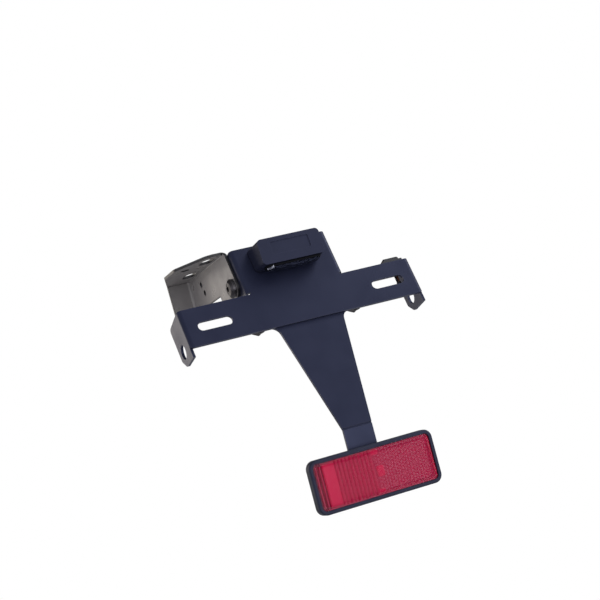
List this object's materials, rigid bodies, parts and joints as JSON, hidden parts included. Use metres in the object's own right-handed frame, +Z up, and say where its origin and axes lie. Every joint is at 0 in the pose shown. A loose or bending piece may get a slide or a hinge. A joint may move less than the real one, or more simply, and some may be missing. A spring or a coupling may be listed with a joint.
{
  "type": "motorbike tail tidy",
  "caption": "Black folded-sheet licence plate holder with slotted bar, indicator ears, plate lamp, tapered reflector arm and bolt-on mount brackets.",
  "frame": {"origin": "centre of the plate bar's rear face", "axes": "+X to the right as seen from behind the motorbike, +Y forwards, +Z up; the mount roofs are level and the plate bar leans forwards by 18 degrees"},
  "size_m": [0.184, 0.156, 0.2007],
  "materials": {
    "black_coat": "satin black powder coat",
    "black_fastener": "black zinc",
    "lamp_plastic": "fine-textured black moulding",
    "soft_black": "dull",
    "clear_lens": "clear moulding",
    "board": "white solder mask",
    "diode": "pale yellow face",
    "jacket": "black jacket",
    "core": "brown and black insulation",
    "plug": "black moulding",
    "frame_plastic": "satin black moulding",
    "red_lens": "transparent red moulding with prisms behind"
  },
  "bodies": {
    "root": {"plate_carrier": "black_coat", "reflector_arm": "black_coat", "left_mount_bracket": "black_coat", "right_mount_bracket": "black_coat", "bracket_bolts": "black_fastener", "bracket_washers": "black_fastener", "bracket_nuts": "black_fastener", "arm_studs": "black_fastener", "arm_washers": "black_fastener", "arm_nuts": "black_fastener", "lamp_screws": "black_fastener", "lamp_washers": "black_fastener", "reflector_stud": "black_fastener", "reflector_washer": "black_fastener", "reflector_nut": "black_fastener", "lamp_housing": "lamp_plastic", "lamp_base": "lamp_plastic", "lamp_gasket": "soft_black", "lamp_lens": "clear_lens", "lamp_board": "board", "lamp_leds": "diode", "lead_grommet": "soft_black", "lamp_lead": "jacket", "lead_cores": "core", "lead_plug": "plug", "plug_saddle": "lamp_plastic", "reflector_frame": "frame_plastic", "reflector_lens": "red_lens"}
  },
  "joints": []
}
